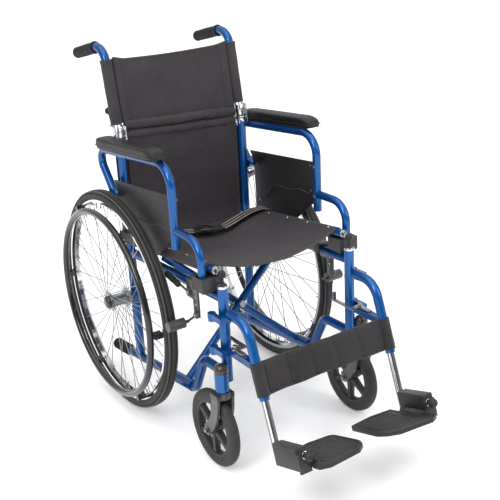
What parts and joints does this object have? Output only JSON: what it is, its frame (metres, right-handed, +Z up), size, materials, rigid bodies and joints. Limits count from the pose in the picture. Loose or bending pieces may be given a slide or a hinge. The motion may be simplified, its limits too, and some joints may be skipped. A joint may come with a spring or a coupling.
{
  "type": "manual folding wheelchair",
  "caption": "Manual folding wheelchair with cross brace, sling seat, half-folding back, flip-back arms, swing-away footrests, swivelling front casters and spoked rear wheels with handrims.",
  "frame": {"origin": "on the floor under the middle of the chair's overall box", "axes": "+Z up, +Y to the rear (the sitter faces -Y), +X to the sitter's left"},
  "size_m": [0.585, 1.1149, 0.981],
  "materials": {
    "frame_paint": "metallic blue gloss",
    "black_rubber": "ribbed matt",
    "bright_chrome": "mirror bright",
    "black_plastic": "satin moulded",
    "arm_vinyl": "padded vinyl",
    "guard_plastic": "textured sheet",
    "tyre_rubber": "matt",
    "spoke_steel": "bright",
    "handrim_coat": "black gloss",
    "fork_paint": "dark satin",
    "latch_steel": "zinc plated",
    "nylon": "woven nylon",
    "webbing": "woven webbing"
  },
  "bodies": {
    "right_frame": {"right_side_frame": "frame_paint", "right_tip_grip": "black_rubber", "right_back_hinge": "bright_chrome", "right_arm_socket": "black_plastic", "right_brake_bracket": "fork_paint", "back_lower": "nylon"},
    "left_frame": {"left_side_frame": "frame_paint", "left_tip_grip": "black_rubber", "left_back_hinge": "bright_chrome", "left_arm_socket": "black_plastic", "left_brake_bracket": "fork_paint"},
    "brace_a": {"cross_brace_a": "frame_paint", "brace_bolt": "spoke_steel"},
    "brace_b": {"cross_brace_b": "frame_paint", "seat_sling": "nylon", "seat_belt": "webbing"},
    "right_upper_back": {"right_upper_cane": "frame_paint", "right_push_grip": "black_rubber", "back_upper": "nylon"},
    "right_back_lever": {"right_back_release_lever": "black_plastic"},
    "right_arm": {"right_arm_frame": "frame_paint", "right_arm_pad": "arm_vinyl", "right_skirt_guard": "guard_plastic"},
    "right_arm_knob": {"right_arm_lock_knob": "black_plastic"},
    "right_wheel": {"right_tyre": "tyre_rubber", "right_rim": "bright_chrome", "right_wheel_hub": "spoke_steel", "right_handrim": "handrim_coat"},
    "right_fork": {"right_caster_fork": "fork_paint"},
    "right_caster": {"right_caster_wheel": "tyre_rubber"},
    "right_footrest": {"right_hanger": "frame_paint", "calf_strap": "nylon"},
    "right_latch": {"right_hanger_latch": "latch_steel"},
    "right_foot_slider": {"right_foot_tube": "bright_chrome", "right_foot_block": "black_plastic"},
    "right_plate_hinge": {"right_foot_hinge": "black_plastic"},
    "right_plate": {"right_footplate": "black_plastic"},
    "right_brake_handle": {"right_brake_lever": "fork_paint"},
    "right_brake_arm": {"right_brake_shoe": "fork_paint"},
    "left_upper_back": {"left_upper_cane": "frame_paint", "left_push_grip": "black_rubber"},
    "left_back_lever": {"left_back_release_lever": "black_plastic"},
    "left_arm": {"left_arm_frame": "frame_paint", "left_arm_pad": "arm_vinyl", "left_skirt_guard": "guard_plastic"},
    "left_arm_knob": {"left_arm_lock_knob": "black_plastic"},
    "left_wheel": {"left_tyre": "tyre_rubber", "left_rim": "bright_chrome", "left_wheel_hub": "spoke_steel", "left_handrim": "handrim_coat"},
    "left_fork": {"left_caster_fork": "fork_paint"},
    "left_caster": {"left_caster_wheel": "tyre_rubber"},
    "left_footrest": {"left_hanger": "frame_paint"},
    "left_latch": {"left_hanger_latch": "latch_steel"},
    "left_foot_slider": {"left_foot_tube": "bright_chrome", "left_foot_block": "black_plastic"},
    "left_plate_hinge": {"left_foot_hinge": "black_plastic"},
    "left_plate": {"left_footplate": "black_plastic"},
    "left_brake_handle": {"left_brake_lever": "fork_paint"},
    "left_brake_arm": {"left_brake_shoe": "fork_paint"}
  },
  "joints": [
    {"name": "fold", "type": "hinge", "parent": "right_frame", "child": "brace_a", "pos_m": [-0.188, 0.01897, 0.13701], "axis": [0, -0.994, 0.1097], "range_deg": [0, 34], "deforming": ["seat_sling", "seat_belt", "back_upper", "back_lower", "calf_strap"]},
    {"name": "brace_pivot", "type": "hinge", "parent": "brace_a", "child": "brace_b", "pos_m": [0, 0.0373, 0.303], "axis": [0, -0.994, 0.1097], "range_deg": [-70, 1]},
    {"name": "left_frame_pivot", "type": "hinge", "parent": "brace_b", "child": "left_frame", "pos_m": [0.188, 0.01897, 0.13701], "axis": [0, -0.994, 0.1097], "range_deg": [-1, 36]},
    {"name": "right_back_fold", "type": "hinge", "parent": "right_frame", "child": "right_upper_back", "pos_m": [-0.188, 0.2923, 0.738], "axis": [-1, 0, 0], "range_deg": [0, 105]},
    {"name": "right_back_release", "type": "hinge", "parent": "right_upper_back", "child": "right_back_lever", "pos_m": [-0.188, 0.3003, 0.764], "axis": [-1, 0, 0], "range_deg": [0, 15], "stiffness_Nm_per_rad": 0.3, "springref_deg": -11.46},
    {"name": "right_arm_flip", "type": "hinge", "parent": "right_frame", "child": "right_arm", "pos_m": [-0.2145, 0.2753, 0.598], "axis": [-1, 0, 0], "range_deg": [0, 90]},
    {"name": "right_arm_knob_pull", "type": "slide", "parent": "right_frame", "child": "right_arm_knob", "axis": [0, 0, 1], "range_m": [0, 0.01], "stiffness_N_per_m": 600, "springref_m": -0.004},
    {"name": "right_wheel_spin", "type": "hinge", "parent": "right_frame", "child": "right_wheel", "pos_m": [-0.244, 0.2553, 0.305], "axis": [1, 0, 0], "continuous": true},
    {"name": "right_caster_swivel", "type": "hinge", "parent": "right_frame", "child": "right_fork", "pos_m": [-0.214, -0.2187, 0.24], "axis": [0, 0, 1], "continuous": true},
    {"name": "right_caster_spin", "type": "hinge", "parent": "right_fork", "child": "right_caster", "pos_m": [-0.214, -0.1747, 0.1], "axis": [1, 0, 0], "continuous": true},
    {"name": "right_footrest_swing", "type": "hinge", "parent": "right_frame", "child": "right_footrest", "pos_m": [-0.213, -0.1907, 0.407], "axis": [0, 0, -1], "range_deg": [0, 90]},
    {"name": "right_latch_turn", "type": "hinge", "parent": "right_footrest", "child": "right_latch", "pos_m": [-0.188, -0.2447, 0.325], "axis": [0, 0, -1], "range_deg": [0, 20], "stiffness_Nm_per_rad": 0.5, "springref_deg": -11.46},
    {"name": "right_foot_length", "type": "slide", "parent": "right_footrest", "child": "right_foot_slider", "axis": [0, -0.342, -0.9397], "range_m": [-0.065, 0.02]},
    {"name": "right_plate_hinge_turn", "type": "hinge", "parent": "right_foot_slider", "child": "right_plate_hinge", "pos_m": [-0.168, -0.46403, 0.13807], "axis": [0, -0.9511, 0.309], "range_deg": [-0.5, 91]},
    {"name": "right_footplate_flip", "type": "hinge", "parent": "right_plate_hinge", "child": "right_plate", "pos_m": [-0.168, -0.46403, 0.13807], "axis": [0, 0.9511, -0.309], "range_deg": [-90, 0]},
    {"name": "right_brake_lever_turn", "type": "hinge", "parent": "right_frame", "child": "right_brake_handle", "pos_m": [-0.211, -0.0817, 0.43], "axis": [1, 0, 0], "range_deg": [0, 45]},
    {"name": "right_brake_shoe_turn", "type": "hinge", "parent": "right_frame", "child": "right_brake_arm", "pos_m": [-0.211, -0.1107, 0.378], "axis": [1, 0, 0], "range_deg": [-0.5, 14]},
    {"name": "left_back_fold", "type": "hinge", "parent": "left_frame", "child": "left_upper_back", "pos_m": [0.188, 0.2923, 0.738], "axis": [-1, 0, 0], "range_deg": [0, 105]},
    {"name": "left_back_release", "type": "hinge", "parent": "left_upper_back", "child": "left_back_lever", "pos_m": [0.188, 0.3003, 0.764], "axis": [-1, 0, 0], "range_deg": [0, 15], "stiffness_Nm_per_rad": 0.3, "springref_deg": -11.46},
    {"name": "left_arm_flip", "type": "hinge", "parent": "left_frame", "child": "left_arm", "pos_m": [0.2145, 0.2753, 0.598], "axis": [-1, 0, 0], "range_deg": [0, 90]},
    {"name": "left_arm_knob_pull", "type": "slide", "parent": "left_frame", "child": "left_arm_knob", "axis": [0, 0, 1], "range_m": [0, 0.01], "stiffness_N_per_m": 600, "springref_m": -0.004},
    {"name": "left_wheel_spin", "type": "hinge", "parent": "left_frame", "child": "left_wheel", "pos_m": [0.244, 0.2553, 0.305], "axis": [1, 0, 0], "continuous": true},
    {"name": "left_caster_swivel", "type": "hinge", "parent": "left_frame", "child": "left_fork", "pos_m": [0.214, -0.2187, 0.24], "axis": [0, 0, 1], "continuous": true},
    {"name": "left_caster_spin", "type": "hinge", "parent": "left_fork", "child": "left_caster", "pos_m": [0.214, -0.1747, 0.1], "axis": [1, 0, 0], "continuous": true},
    {"name": "left_footrest_swing", "type": "hinge", "parent": "left_frame", "child": "left_footrest", "pos_m": [0.213, -0.1907, 0.407], "axis": [0, 0, 1], "range_deg": [0, 90]},
    {"name": "left_latch_turn", "type": "hinge", "parent": "left_footrest", "child": "left_latch", "pos_m": [0.188, -0.2447, 0.325], "axis": [0, 0, 1], "range_deg": [0, 20], "stiffness_Nm_per_rad": 0.5, "springref_deg": -11.46},
    {"name": "left_foot_length", "type": "slide", "parent": "left_footrest", "child": "left_foot_slider", "axis": [0, -0.342, -0.9397], "range_m": [-0.065, 0.02]},
    {"name": "left_plate_hinge_turn", "type": "hinge", "parent": "left_foot_slider", "child": "left_plate_hinge", "pos_m": [0.168, -0.46403, 0.13807], "axis": [0, 0.9511, -0.309], "range_deg": [-0.5, 91]},
    {"name": "left_footplate_flip", "type": "hinge", "parent": "left_plate_hinge", "child": "left_plate", "pos_m": [0.168, -0.46403, 0.13807], "axis": [0, -0.9511, 0.309], "range_deg": [-90, 0]},
    {"name": "left_brake_lever_turn", "type": "hinge", "parent": "left_frame", "child": "left_brake_handle", "pos_m": [0.211, -0.0817, 0.43], "axis": [1, 0, 0], "range_deg": [0, 45]},
    {"name": "left_brake_shoe_turn", "type": "hinge", "parent": "left_frame", "child": "left_brake_arm", "pos_m": [0.211, -0.1107, 0.378], "axis": [1, 0, 0], "range_deg": [-0.5, 14]}
  ],
  "couplings": [
    {"joint": "brace_pivot", "follows": "fold", "ratio": -2},
    {"joint": "left_frame_pivot", "follows": "fold", "ratio": 1},
    {"joint": "right_plate_hinge_turn", "follows": "fold", "ratio": 2.6471},
    {"joint": "right_brake_shoe_turn", "follows": "right_brake_lever_turn", "ratio": 0.28},
    {"joint": "left_plate_hinge_turn", "follows": "fold", "ratio": 2.6471},
    {"joint": "left_brake_shoe_turn", "follows": "left_brake_lever_turn", "ratio": 0.28},
    {"joint": "left_back_fold", "follows": "right_back_fold", "ratio": 1}
  ]
}
